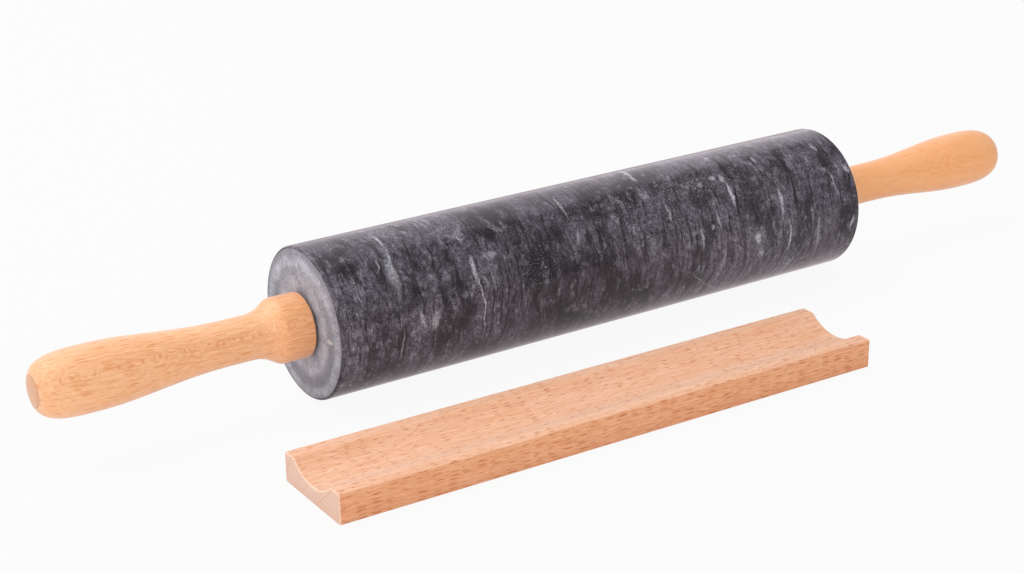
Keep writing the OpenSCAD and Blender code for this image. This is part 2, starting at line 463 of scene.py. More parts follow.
@dataclass(frozen=True)
class PolishedMarble(DarkMarble):
    """The barrel's round face, polished to a gloss, with its white veins and dark patches.

    Attributes:
        roughness: Roughness of the polish.
        ior: Index of refraction of the stone.
        tint: Tint of what the stone mirrors.
        torn: How much of a mark is left where it is torn.
        mark_soft: Where a mark's soft edge ends and begins, as shares of its size.
        no_depth: Size of a mark in depth, so large that depth doesn't count.
    """

    roughness: float = 0.06
    ior: float = 1.45
    tint: Colour = (1.0, 0.96, 1.0)
    torn: float = 0.2
    mark_soft: tuple[float, float] = (1.15, 0.35)
    no_depth: float = 1000.0

    def material(self) -> bpy.types.Material:
        """The finished material."""
        sheet = NodeSheet(self.name)
        flat = self.unrolled(sheet)
        rag = sheet.cloud((0.6 * MM, 1.1 * MM, 1.0), flat, 4.0, 0.75)
        ragged = sheet.step(rag, 0.40, 0.60, self.torn, 1.0)
        soft = sheet.step(rag, 0.34, 0.58, 0.35, 1.0)
        veins = self.marks(sheet, flat, VEINS)
        spots = self.marks(sheet, self.waiting(sheet, flat, veins), DARK_SPOTS)
        clouds = self.marks(sheet, self.waiting(sheet, flat, spots), PALE_CLOUDS)
        fields = self.marks(sheet, self.waiting(sheet, flat, clouds), SPARKLES)
        fine = sheet.cloud((0.6 * MM, 0.7 * MM, 1.0), flat, 2.0, 0.7)
        sparks = sheet.times(fields, sheet.step(fine, 0.58, 0.72, 0.0, 0.9))
        colour = self.stone(sheet, sheet.times(clouds, soft))
        colour = sheet.mix(sheet.times(spots, soft), colour, self.deep)
        white = sheet.times(veins, ragged)
        colour = sheet.mix(sheet.math("MAXIMUM", white, sparks), colour, self.vein)
        sheet.set(base_color=colour, roughness=self.roughness, ior=self.ior, specular_tint=self.tint)
        return sheet.material

    def unrolled(self, sheet: NodeSheet) -> bpy.types.NodeSocket:
        """Coordinates on the unrolled side of the barrel, a little bent, in metres."""
        level = sheet.scaled((1, 1, 1), centre=self.centre)
        bent = sheet.warped(level, mm(14), mm(3.5, 0, 0))
        bent = sheet.warped(bent, mm(3), mm(1.8, 1.5, 1.5))
        angle = sheet.polar(bent)[1]
        along = sheet.part(bent, 0)
        return sheet.node("CombineXYZ", {0: along, 1: sheet.times(angle, self.radius)})

    def waiting(self, sheet: NodeSheet, flat: Source, earlier: Source) -> bpy.types.NodeSocket:
        """Coordinates for the next marks, worked out after the earlier ones.

        The renderer holds only so many values at once, so the groups of marks follow each other. The
        earlier result goes in as a depth, which the marks take no notice of.

        Args:
            sheet: The material that takes them.
            flat: Coordinates on the unrolled side.
            earlier: Result of the earlier marks.

        Returns:
            The coordinates.
        """
        parts = sheet.parts(flat)
        return sheet.node("CombineXYZ", {0: parts[0], 1: parts[1], 2: earlier})

    def marks(self, sheet: NodeSheet, flat: Source, group: tuple[Mark, ...]) -> bpy.types.NodeSocket:
        """Writes soft ovals on the unrolled side of the barrel.

        Args:
            sheet: The material that takes them.
            flat: Coordinates on the unrolled side.
            group: The marks.

        Returns:
            How much of a mark there is, from 0 to 1.
        """
        total = 0.0
        for mark in group:
            place = (mark.x * MM, math.radians(mark.angle) * self.radius, 0)
            size = (mark.width / 2 * MM, mark.length / 2 * MM, self.no_depth)
            inside = sheet.scaled(size, flat, place, (0, 0, math.radians(mark.lean)))
            reach = sheet.length(inside)
            total = sheet.math("MAXIMUM", total, sheet.step(reach, *self.mark_soft, 0.0, mark.strength))
        return total


@dataclass(frozen=True)
class HonedMarble(DarkMarble):
    """The barrel's sawn ends, ground matt and paler, with mottled rings from the grinding wheel and
    painted light that makes them paler towards the top.

    Attributes:
        dust: Colour of the darkest ring.
        ring: Colour of the palest ring.
        chalk: Colour of the cut vein.
        half: Half the length of the barrel.
        off_centre: How far the rings lie below the pin's line, as a share of the radius.
        strokes: Number of the wheel's strokes in one radian.
        stroke_width: Width of the rings that the strokes lie in.
        roughness: Roughness of the ground face.
        grit: Size of its finest grains.
        grit_depth: Depth of its relief.
    """

    dust: Colour = (0.226, 0.231, 0.264)
    ring: Colour = (0.55, 0.565, 0.645)
    chalk: Colour = (0.80, 0.74, 0.70)
    half: float = 127 * MM
    off_centre: float = 0.05
    strokes: float = 60.0
    stroke_width: float = 2.2 * MM
    roughness: float = 0.6
    grit: float = 0.4 * MM
    grit_depth: float = 0.03 * MM

    def material(self) -> bpy.types.Material:
        """The finished material."""
        sheet = NodeSheet(self.name)
        level = sheet.scaled((1, 1, 1), centre=self.centre)
        soft = sheet.warped(level, mm(12), mm(0, 3, 3))
        cloud = sheet.cloud(mm(5), level, 4.0, 0.65)
        rings = sheet.times(self.wheel(sheet, soft), sheet.step(cloud, 0.30, 0.66, 0.45, 1.25))
        ground = sheet.mix(0.15, sheet.mix(rings, self.dust, self.ring), self.stone(sheet))
        radius, angle = sheet.polar(level)
        turns = sheet.node("CombineXYZ", {0: sheet.times(angle, self.strokes),
                                          1: sheet.math("DIVIDE", radius, self.stroke_width)})
        stroke = sheet.noise(turns, 3.0, 0.7)
        grit = sheet.cloud((self.grit,) * 3, sheet.place, 2.0, 0.7)
        rough = sheet.times(sheet.step(stroke, 0.25, 0.75, 0.70, 1.28),
                            sheet.step(grit, 0.25, 0.75, 0.68, 1.34))
        colour = sheet.mix(self.streak(sheet, soft, grit), sheet.shade(ground, rough), self.chalk)
        sheet.set(base_color=colour, roughness=self.roughness, normal=sheet.bump(grit, self.grit_depth))
        return sheet.material

    def wheel(self, sheet: NodeSheet, place: Source) -> bpy.types.NodeSocket:
        """Brightness of the rings, which lie a little below the pin's line, with painted light that
        makes the face paler towards its top.

        Args:
            sheet: The material that takes them.
            place: Coordinates from the middle of the barrel, in metres.

        Returns:
            The brightness, from 0 to 1.
        """
        lowered = sheet.vector("ADD", place, (0, 0, self.off_centre * self.radius))
        share = sheet.math("DIVIDE", sheet.polar(lowered)[0], self.radius)
        rise = sheet.math("DIVIDE", sheet.part(place, 2), self.radius)
        # Painted light: the face grows paler towards its top, where the light falls.
        high = sheet.step(rise, -0.1, 0.75)
        # The pale inner zone is partly the wheel's ring and partly painted light that offsets the shade
        # round the collar.
        inner = sheet.times(sheet.step(share, 0.70, 0.56), sheet.lerp(high, 0.72, 0.30))
        outer = sheet.times(sheet.step(share, 0.76, 0.82), sheet.step(share, 0.97, 0.86))
        outer = sheet.times(outer, sheet.lerp(high, 0.50, 0.36))
        # Painted light, held back at the top of the rim.
        top_rim_dim = sheet.times(sheet.step(share, 0.89, 0.97), high)
        body = sheet.times(sheet.lerp(high, 0.06, 0.54), sheet.lerp(top_rim_dim, 1.0, 0.4))
        return sheet.math("ADD", body, sheet.math("ADD", inner, outer))

    def streak(self, sheet: NodeSheet, place: Source, rag: Source) -> bpy.types.NodeSocket:
        """A pale vein that the saw cut through, in the left end only.

        Args:
            sheet: The material that takes it.
            place: Coordinates from the middle of the barrel, in metres.
            rag: Noise that tears it.

        Returns:
            How much of it there is, from 0 to 1.
        """
        centre = (-self.half, -0.68 * self.radius, -0.02 * self.radius)
        inside = sheet.scaled(mm(40, 3.2, 1.3), place, centre, (math.radians(-14), 0, 0))
        reach = sheet.length(inside)
        return sheet.times(sheet.step(reach, 1.1, 0.3), sheet.step(rag, 0.3, 0.6, 0.2, 0.6))


@dataclass(frozen=True)
class Beech:
    """Beech, with fine growth rings round a pith line, fibres and thin ray flecks.

    Attributes:
        name: Name of the material.
        pith: A point on the line that the growth rings go round.
        reach: Distance from that line to the middle of the piece.
        tilt: Angles between that line and the X axis.
        pale: Colour of the early wood.
        warm: Colour of the late wood.
        fleck: Colour of the ray flecks.
        dark_fibre: Tint of the darkest fibres.
        light_fibre: Tint of the lightest fibres.
        end_grain: Colour of the faces that cut across the grain.
        end_share: How strongly those faces are tinted, from 0 to 1.
        arris: Colour of the rounded edges round those faces, partly sanded wood and partly painted
            highlight.
        arris_share: How strongly those edges are tinted, from 0 to 1.
        ring: Mean width of a growth ring.
        ring_share: How strongly rings and lines are marked, from 0 to 1.
        ray: Size of the cell that holds a ray fleck, along the log and round it.
        fleck_share: How strong the flecks are, from 0 to 1.
        fleck_count: Share of the cells that hold a fleck.
        fleck_reach: Size of the largest fleck, as a share of its cell.
        roughness: Roughness of the surface.
        gloss: Strength of the shine.
        sheen: Strength of the veil that the fine fibres show at a flat angle.
        sheen_spread: Roughness of that veil.
        relief: Depth of the fibres.
    """

    name: str
    pith: Size
    reach: float
    tilt: Size = (0.0, 0.0, 0.0)
    pale: Colour = (0.99, 0.562, 0.305)
    warm: Colour = (0.82, 0.345, 0.14)
    fleck: Colour = (0.69, 0.19, 0.035)
    dark_fibre: Colour = (0.90, 0.80, 0.68)
    light_fibre: Colour = (1.04, 1.11, 1.20)
    end_grain: Colour = (0.90, 0.54, 0.34)
    end_share: float = 0.5
    arris: Colour = (0.96, 0.74, 0.60)
    arris_share: float = 0.0
    ring: float = 0.5 * MM
    ring_share: float = 0.44
    ray: Size = (9.0 * MM, 0.46 * MM, 1.0)
    fleck_share: float = 0.74
    fleck_count: float = 0.75
    fleck_reach: float = 0.34
    roughness: float = 0.42
    gloss: float = 0.4
    sheen: float = 0.45
    sheen_spread: float = 0.35
    relief: float = 0.02 * MM

    def material(self) -> bpy.types.Material:
        """The finished material."""
        sheet = NodeSheet(self.name)
        log_place = self.log_place(sheet)
        colour = self.rings(sheet, log_place)
        fibre = sheet.cloud(mm(11, 0.45, 0.45), log_place, 3.0, 0.65)
        tone = sheet.mix(sheet.step(fibre, 0.25, 0.75), self.dark_fibre, self.light_fibre)
        colour = sheet.tinted(colour, tone)
        colour = self.end_tint(sheet, colour)
        spots = self.flecks(sheet, log_place)
        colour = sheet.mix(sheet.times(spots, self.fleck_share), colour, self.fleck)
        relief = sheet.bump(fibre, self.relief)
        sheet.set(base_color=colour, roughness=self.roughness, specular_ior_level=self.gloss,
                  sheen_weight=self.sheen, sheen_roughness=self.sheen_spread, normal=relief)
        return sheet.material

    def log_place(self, sheet: NodeSheet) -> bpy.types.NodeSocket:
        """Coordinates in the log: along it, out from the pith, and round it at the piece.

        Args:
            sheet: The material that takes them.

        Returns:
            The coordinates in metres.
        """
        level = sheet.scaled((1, 1, 1), centre=self.pith, turn=self.tilt)
        wavy = sheet.warped(level, mm(60, 26, 26), mm(0, 2.4, 2.4))
        wavy = sheet.warped(wavy, mm(9, 5, 5), mm(0, 0.7, 0.7))
        radius, angle = sheet.polar(wavy)
        along = sheet.part(wavy, 0)
        return sheet.node("CombineXYZ", {0: along, 1: radius, 2: sheet.times(angle, self.reach)})

    def rings(self, sheet: NodeSheet, place: Source) -> bpy.types.NodeSocket:
        """Writes the growth rings.

        Args:
            sheet: The material that takes them.
            place: Coordinates in the log, in metres.

        Returns:
            The colour of early and late wood.
        """
        radius = sheet.part(place, 1)
        drift = sheet.cloud(mm(70, 7, 24), place, 2.0)
        count = sheet.math("ADD", sheet.math("DIVIDE", radius, self.ring), sheet.times(drift, 3.0))
        phase = sheet.math("FRACT", count)
        late = sheet.times(sheet.step(phase, 0.15, 0.72), sheet.step(phase, 1.0, 0.80))
        years = sheet.cloud(mm(60, 1.7, 30), place, 3.0, 0.65)
        late = sheet.times(late, sheet.step(years, 0.34, 0.66, 0.25, 0.55))
        broad = sheet.cloud(mm(55, 5, 11), place, 3.0)
        lines = sheet.cloud(mm(18, 0.6, 0.7), place, 3.0, 0.6)
        bands = sheet.math("ADD", sheet.step(broad, 0.3, 0.72, 0.0, 0.55),
                           sheet.step(lines, 0.3, 0.75, -0.2, 0.45))
        amount = sheet.times(sheet.math("ADD", late, bands), self.ring_share)
        return sheet.mix(amount, self.pale, self.warm)

    def flecks(self, sheet: NodeSheet, place: Source) -> bpy.types.NodeSocket:
        """Writes the ray flecks, thin dashes along the log that reach out from the pith.

        Args:
            sheet: The material that takes them.
            place: Coordinates in the log, in metres.

        Returns:
            Where the flecks are, from 0 to 1.
        """
        return self.dashes(sheet, place, self.ray, self.fleck_reach)

    def dashes(self, sheet: NodeSheet, place: Source, cell: Size, most: float) -> bpy.types.NodeSocket:
        """Writes thin ovals along the log, each in a cell of its own.

        Args:
            sheet: The material that takes them.
            place: Coordinates in the log, in metres.
            cell: Size of the cell along the log and round it.
            most: Size of the largest oval, as a share of the cell.

        Returns:
            Where the ovals are, from 0 to 1.
        """
        parts = sheet.parts(place)
        flat = sheet.node("CombineXYZ", {0: parts[0], 1: parts[2]})
        cells = {"Vector": sheet.scaled(cell, flat), "Scale": 1.0}
        found = sheet.node("TexVoronoi", cells, 0, voronoi_dimensions="2D").node.outputs
        chance = sheet.parts(found["Color"])
        reach = sheet.step(chance[0], 1 - self.fleck_count, 1.0, 0.3 * most, most)
        shape = sheet.step(sheet.math("DIVIDE", found["Distance"], reach), 1.0, 0.6)
        return sheet.times(shape, sheet.step(chance[1], 0.0, 1.0, 0.4, 1.0))

    def end_tint(self, sheet: NodeSheet, colour: Source) -> bpy.types.NodeSocket:
        """Tints the faces that cut across the grain, and paints the edges round them paler, partly as
        sanded wood and partly as a painted highlight.

        Args:
            sheet: The material that takes the tint.
            colour: Colour of the wood.

        Returns:
            The tinted colour.
        """
        along = sheet.math("ABSOLUTE", sheet.facing(0))
        tinted = sheet.mix(sheet.step(along, 0.75, 0.97, 0.0, self.end_share), colour, self.end_grain)
        # Partly painted highlight: the rounded edges round the end faces are made paler, as well as
        # sanded.
        arris = sheet.times(sheet.step(along, 0.2, 0.45, 0.0, self.arris_share),
                            sheet.step(along, 0.97, 0.8))
        return sheet.mix(arris, tinted, self.arris)


@dataclass(frozen=True)
class TurnedBeech(Beech):
    """Beech of a handle, with painted shade that darkens it towards its collar, next to the barrel.

    Attributes:
        collar_face: Distance from the middle of the pin to the collar's face.
        collar_shade_len: How far the painted shade reaches from there.
        collar_shade: Tint of the painted shade.
    """

    collar_face: float = 0.0
    collar_shade_len: float = 20 * MM
    collar_shade: Colour = (0.96, 0.885, 0.81)

    def end_tint(self, sheet: NodeSheet, colour: Source) -> bpy.types.NodeSocket:
        """Paints shade on the wood near the collar, then tints the faces across the grain.

        Args:
            sheet: The material that takes the tint.
            colour: Colour of the wood.

        Returns:
            The tinted colour.
        """
        # Painted shade: the wood darkens towards the collar, where the barrel's end shades it.
        along = sheet.math("ABSOLUTE", sheet.part(sheet.place, 0))
        near = sheet.step(along, self.collar_face + self.collar_shade_len,
                          self.collar_face + 0.4 * self.collar_shade_len)
        collar_shaded = sheet.tinted(colour, self.collar_shade)
        return super().end_tint(sheet, sheet.mix(near, colour, collar_shaded))


@dataclass(frozen=True)
class LadderBeech(TurnedBeech):
    """Beech with a row of darker spots where the lathe runs along a growth ring.

    Attributes:
        ladder: Angle of that row round the pith line.
        rung: Size of the spots.
        rung_share: How dark the spots are, from 0 to 1.
    """

    ladder: float = 0.0
    rung: float = 1.5 * MM
    rung_share: float = 0.6

    def flecks(self, sheet: NodeSheet, place: Source) -> bpy.types.NodeSocket:
        """Writes the ray flecks and the row of spots.

        Args:
            sheet: The material that takes them.
            place: Coordinates in the log, in metres.

        Returns:
            Where the flecks and spots are, from 0 to 1.
        """
        parts = sheet.parts(place)
        aside = sheet.math("ABSOLUTE", sheet.math("SUBTRACT", parts[2], self.ladder * self.reach))
        band = sheet.step(aside, self.rung, 0.2 * self.rung, 0.0, self.rung_share)
        rungs = sheet.cloud((self.rung,) * 3, place, 0.0)
        return sheet.math("MAXIMUM", super().flecks(sheet, place),
                          sheet.times(band, sheet.step(rungs, 0.50, 0.70)))


@dataclass(frozen=True)
class PlanedBeech(Beech):
    """Planed beech whose upright sides are darker, partly from their own wood tone and partly from
    painted shade, with more and finer flecks.

    Attributes:
        flank: Tint of the faces that look along Y, partly the wood's tone and partly painted shade.
        near_wall_light: Painted light, a paler tint of the near side of the trough, which faces the
            back.
        flank_ray: Size of the cell that holds a fleck on those faces.
        flank_reach: Size of the largest fleck there, as a share of its cell.
    """

    flank: Colour = (0.97, 0.82, 0.67)
    near_wall_light: Colour = (1.02, 1.10, 1.19)
    flank_ray: Size = (6.0 * MM, 0.38 * MM, 1.0)
    flank_reach: float = 0.42

    def flanks(self, sheet: NodeSheet) -> bpy.types.NodeSocket:
        """How much a face looks along Y, from 0 to 1."""
        return sheet.step(sheet.math("ABSOLUTE", sheet.facing(1)), 0.6, 0.9)

    def end_tint(self, sheet: NodeSheet, colour: Source) -> bpy.types.NodeSocket:
        """Tints the upright sides, partly with painted shade, paints light on the faces that look
        towards the back, then tints the sawn ends.

        Args:
            sheet: The material that takes the tint.
            colour: Colour of the wood.

        Returns:
            The tinted colour.
        """
        # Painted light: faces that look towards the back, such as the near wall of the trough, are made
        # paler.
        facing = sheet.facing(1)
        near = sheet.times(sheet.step(facing, -0.12, 0.16), sheet.step(facing, 0.9, 0.6))
        near_wall_lit = sheet.tinted(colour, self.near_wall_light)
        # The upright sides' tint is partly the wood's tone and partly painted shade.
        side = sheet.tinted(colour, self.flank)
        with_near_wall_light = sheet.mix(near, colour, near_wall_lit)
        return super().end_tint(sheet, sheet.mix(self.flanks(sheet), with_near_wall_light, side))

    def flecks(self, sheet: NodeSheet, place: Source) -> bpy.types.NodeSocket:
        """Writes the ray flecks, finer and closer on the upright sides.

        Args:
            sheet: The material that takes them.
            place: Coordinates in the log, in metres.

        Returns:
            Where the flecks are, from 0 to 1.
        """
        fine = self.dashes(sheet, place, self.flank_ray, self.flank_reach)
        return sheet.lerp(self.flanks(sheet), super().flecks(sheet, place), fine)


@dataclass(frozen=True)
class PlugBeech(Beech):
    """Wood of a plug, cut across the grain, with a line of painted shade round it, where it meets the
    pocket.

    Attributes:
        line: The middle of the barrel, on the pin's line.
        edge: Radius of the plug.
        joint_shade: Colour of the painted shade line round it.
        joint_shade_share: How strong that line is, from 0 to 1.
    """

    line: Size = (0.0, 0.0, 0.0)
    edge: float = 6 * MM
    joint_shade: Colour = (0.42, 0.20, 0.10)
    joint_shade_share: float = 0.22

    def end_tint(self, sheet: NodeSheet, colour: Source) -> bpy.types.NodeSocket:
        """Tints the face and paints a line of shade round its edge, in the joint.

        Args:
            sheet: The material that takes the tint.
            colour: Colour of the wood.

        Returns:
            The tinted colour.
        """
        tinted = super().end_tint(sheet, colour)
        # Painted shade: a dark ring at the plug's edge, where the chamfered joint would lie in shade.
        radius = sheet.polar(sheet.scaled((1, 1, 1), centre=self.line))[0]
        rim = sheet.step(radius, self.edge - 0.55 * MM, self.edge - 0.15 * MM, 0.0, self.joint_shade_share)
        return sheet.mix(rim, tinted, self.joint_shade)


@dataclass(frozen=True)
class BrightSteel:
    """Drawn steel of rod, tube, washers and nuts, with fine marks along the pin.

    Attributes:
        name: Name of the material.
        colour: Colour of the steel.
    """

    name: str = "bright_steel"
    colour: Colour = (0.60, 0.60, 0.62)

    def material(self) -> bpy.types.Material:
        """The finished material."""
        sheet = NodeSheet(self.name)
        marks = sheet.cloud(mm(12, 0.25, 0.25), sheet.place, 3.0, 0.6)
        colour = sheet.shade(self.colour, sheet.step(marks, 0.25, 0.75, 0.85, 1.1))
        roughness = sheet.step(marks, 0.3, 0.7, 0.22, 0.36)
        sheet.set(base_color=colour, metallic=1.0, roughness=roughness)
        return sheet.material


@dataclass(frozen=True)
class WhiteNylon:
    """Moulded plastic of bushes and thrust washers, faintly cloudy.

    Attributes:
        name: Name of the material.
        colour: Colour of the plastic.
        roughness: Roughness of its skin.
        relief: Depth of the skin's ripples.
    """

    name: str = "white_nylon"
    colour: Colour = (0.80, 0.79, 0.75)
    roughness: float = 0.5
    relief: float = 0.01 * MM

    def material(self) -> bpy.types.Material:
        """The finished material."""
        sheet = NodeSheet(self.name)
        cloud = sheet.cloud(mm(4), sheet.place, 3.0)
        colour = sheet.shade(self.colour, sheet.step(cloud, 0.3, 0.7, 0.94, 1.04))
        skin = sheet.cloud(mm(0.3), sheet.place, 1.0)
        sheet.set(base_color=colour, roughness=self.roughness, normal=sheet.bump(skin, self.relief))
        return sheet.material


@dataclass(frozen=True)
class PinLine:
    """The line that the pin turns on, read from the barrel's box.

    Attributes:
        y: Its place along Y.
        z: Its height.
        radius: Radius of the barrel round it.
        half: Half the length of the barrel.
    """

    y: float
    z: float
    radius: float
    half: float

    @classmethod
    def from_frame(cls) -> "PinLine":
        """The line and the barrel's size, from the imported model."""
        low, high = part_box("marble_barrel")
        middle = (low + high) / 2
        return cls(middle.y, middle.z, (high.z - low.z) / 2, (high.x - low.x) / 2)

    @property
    def centre(self) -> Size:
        """The middle of the barrel."""
        return (0.0, self.y, self.z)

    def spin(self, outline: Outline, steps: int, closed: bool) -> bmesh.types.BMesh:
        """Turns an outline about the pin's line.

        Args:
            outline: Points as distance along X and radius.
            steps: Number of steps round the line.
            closed: Whether the last point joins the first.

        Returns:
            The turned body.
        """
        bm = bmesh.new()
        points = [bm.verts.new((x, self.y, self.z + r)) for x, r in outline]
        pairs = list(zip(points, points[1:]))
        if closed:
            pairs.append((points[-1], points[0]))
        edges = [bm.edges.new(pair) for pair in pairs]
        bmesh.ops.spin(bm, geom=points + edges, cent=self.centre, axis=(1, 0, 0), dvec=(0, 0, 0),
                       angle=math.tau, steps=steps, use_merge=True, use_duplicate=False)
        bmesh.ops.remove_doubles(bm, verts=bm.verts, dist=MERGE_DISTANCE)
        bmesh.ops.recalc_face_normals(bm, faces=bm.faces)
        return bm

    def radius_of(self, vert: bmesh.types.BMVert) -> float:
        """Distance of a vertex from the pin's line."""
        return math.hypot(vert.co.y - self.y, vert.co.z - self.z)

    def rim(self, bm: bmesh.types.BMesh, x: float, radius: float) -> list[bmesh.types.BMEdge]:
        """Edges of the ring at one place along the line.

        Args:
            bm: The turned body.
            x: Place along X.
            radius: Radius of the ring.

        Returns:
            The edges of the ring.
        """
        near = 0.01 * MM
        return [edge for edge in bm.edges
                if all(abs(v.co.x - x) < near and abs(self.radius_of(v) - radius) < near
                       for v in edge.verts)]


def bevel(bm: bmesh.types.BMesh, edges: list[bmesh.types.BMEdge], width: float, segments: int) -> None:
    """Rounds edges.

    Args:
        bm: The body.
        edges: Its edges to round.
        width: How far the rounding reaches from the edge.
        segments: Number of steps in the rounding.
    """
    bmesh.ops.bevel(bm, geom=edges, offset=width, offset_type="OFFSET", affect="EDGES",
                    segments=segments, profile=0.5, material=-1, clamp_overlap=True)


@dataclass(frozen=True)
class PieceCard:
    """Where a finished piece belongs.

    Attributes:
        name: Name of the piece.
        body: CAD body that carries it.
        slot: Material slot of the record; not used.
        stands_for: CAD node that it replaces.
    """

    name: str
    body: str
    slot: Slot
    stands_for: str

    def deliver(self, bm: bmesh.types.BMesh, *materials: bpy.types.Material) -> bpy.types.Object:
        """Makes the object, dresses it and hands it to the frame.

        Args:
            bm: The finished body, which is freed.
            *materials: Materials in the order of the faces' material numbers.

        Returns:
            The new object.
        """
        mesh = bpy.data.meshes.new(self.name)
        bm.to_mesh(mesh)
        bm.free()
        mesh.polygons.foreach_set("use_smooth", [True] * len(mesh.polygons))
        mesh.set_sharp_from_angle(angle=SMOOTH_BELOW)
        for material in materials:
            mesh.materials.append(material)
        piece = bpy.data.objects.new(self.name, mesh)
        bpy.context.scene.collection.objects.link(piece)
        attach(piece, self.body)
        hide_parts(self.stands_for)
        log.info("%s: %d faces, rides on %s", self.name, len(mesh.polygons), self.body)
        return piece


@dataclass
class MarbleBarrel:
    """The marble cylinder, bored through, with a seat for a bush's flange in each end.

    Attributes:
        line: The line that it turns on, with its radius and length.
        edge_round: Rounding of its outer edges.
        edge_steps: Number of steps in that rounding.
        bore_d: Diameter of the bore.
        seat_d: Diameter of the flange's seat.
        seat_depth: Depth of that seat.
        seat_chamfer: Chamfer round the seat's mouth.
        chamfer_steps: Number of steps in that chamfer.
        steps: Number of steps round it.
    """

    line: PinLine
    edge_round: float = 1 * MM
    edge_steps: int = 8
    bore_d: float = 14.04 * MM
    seat_d: float = 19.04 * MM
    seat_depth: float = 1.5 * MM
    seat_chamfer: float = 0.25 * MM
    chamfer_steps: int = 2
    steps: int = 180

    def build(self) -> None:
        """Builds the barrel, polished round its side and honed at its ends."""
        half, radius = self.line.half, self.line.radius
        bore, seat = self.bore_d / 2, self.seat_d / 2
        floor = half - self.seat_depth
        ends = [(floor, bore), (floor, seat), (half, seat), (half, radius)]
        outline = ends + [(-x, r) for x, r in reversed(ends)]
        bm = self.line.spin(outline, self.steps, closed=True)
        for side in Side:
            bevel(bm, self.line.rim(bm, side.value * half, radius), self.edge_round, self.edge_steps)
            mouth = self.line.rim(bm, side.value * half, seat)
            bevel(bm, mouth, self.seat_chamfer, self.chamfer_steps)
        self.sort_faces(bm)
        card = PieceCard("marble_barrel_stone", "barrel", Slot.MARBLE, "marble_barrel")
        card.deliver(bm, PolishedMarble("polished_marble", self.line.centre, radius).material(),
                     HonedMarble("honed_marble", self.line.centre, radius, half=half).material())

    def sort_faces(self, bm: bmesh.types.BMesh) -> None:
        """Gives the ends and the bore the honed finish.

        Args:
            bm: The barrel.
        """
        inner = self.line.radius - self.edge_round
        for face in bm.faces:
            reach = max(self.line.radius_of(v) for v in face.verts)
            face.material_index = 1 if reach < inner + 0.1 * self.edge_round else 0


@dataclass
class HandleShape:
    """Outline that the lathe gives a handle, from the collar's face to the tip.

    Attributes:
        length: Length of the handle.
        collar_d: Diameter of the collar.
        collar_len: Length of the collar's straight part.
        collar_edge_r: Rounding of the collar's edge.
        cove_len: Length of the cove.
        neck_d: Diameter of the neck.
        grip_d: Diameter of the grip at its widest.
        crown_len: Length of the rounded end.
        cove_sweep: A higher value draws the cove in sooner.
        swell_ease: Above 1 the grip swells later.
        crown_power: 2 is an ellipse, and higher values are blunter.
        steps: Number of steps in each curve.
    """

    length: float = 107 * MM
    collar_d: float = 25.5 * MM
    collar_len: float = 10.7 * MM
    collar_edge_r: float = 1 * MM
    cove_len: float = 17 * MM
    neck_d: float = 17.3 * MM
    grip_d: float = 24.9 * MM
    crown_len: float = 23 * MM
    cove_sweep: float = 5.5
    swell_ease: float = 1.2
    crown_power: float = 3.5
    steps: int = 36

    def shares(self, first: int = 1) -> list[float]:
        """Even shares from 0 or one step on, up to 1."""
        return [i / self.steps for i in range(first, self.steps + 1)]

    def collar(self) -> Outline:
        """Points of the collar's rounded edge."""
        r = self.collar_edge_r
        quarter = [math.pi / 2 * t for t in self.shares(0)]
        return [(r - r * math.cos(a), self.collar_d / 2 - r + r * math.sin(a)) for a in quarter]

    def cove(self) -> Outline:
        """Points of the cove between collar and neck."""
        fall = (self.collar_d - self.neck_d) / 2
        return [(self.collar_len + self.cove_len * t,
                 self.neck_d / 2 + fall * (1 - t) ** self.cove_sweep * (1 + self.cove_sweep * t))
                for t in self.shares(0)]

    def swell(self) -> Outline:
        """Points of the grip, from the neck to its widest place."""
        start = self.collar_len + self.cove_len
        reach = self.length - self.crown_len - start
        rise = (self.grip_d - self.neck_d) / 2
        return [(start + reach * t,
                 self.neck_d / 2 + rise * (1 - math.cos(math.pi * t ** self.swell_ease)) / 2)
                for t in self.shares()]

    def crown(self, angle: float) -> tuple[float, float]:
        """Point of the rounded end at an angle from its widest place."""
        share = 2 / self.crown_power
        return (self.length - self.crown_len + self.crown_len * math.sin(angle) ** share,
                self.grip_d / 2 * max(math.cos(angle), 0.0) ** share)

    def crown_angle(self, radius: float) -> float:
        """Angle at which the rounded end has shrunk to a radius."""
        return math.acos((2 * radius / self.grip_d) ** (self.crown_power / 2))

    def crown_points(self, start: float, end: float) -> Outline:
        """Points of the rounded end after one angle, up to another."""
        return [self.crown(start + (end - start) * t) for t in self.shares()]


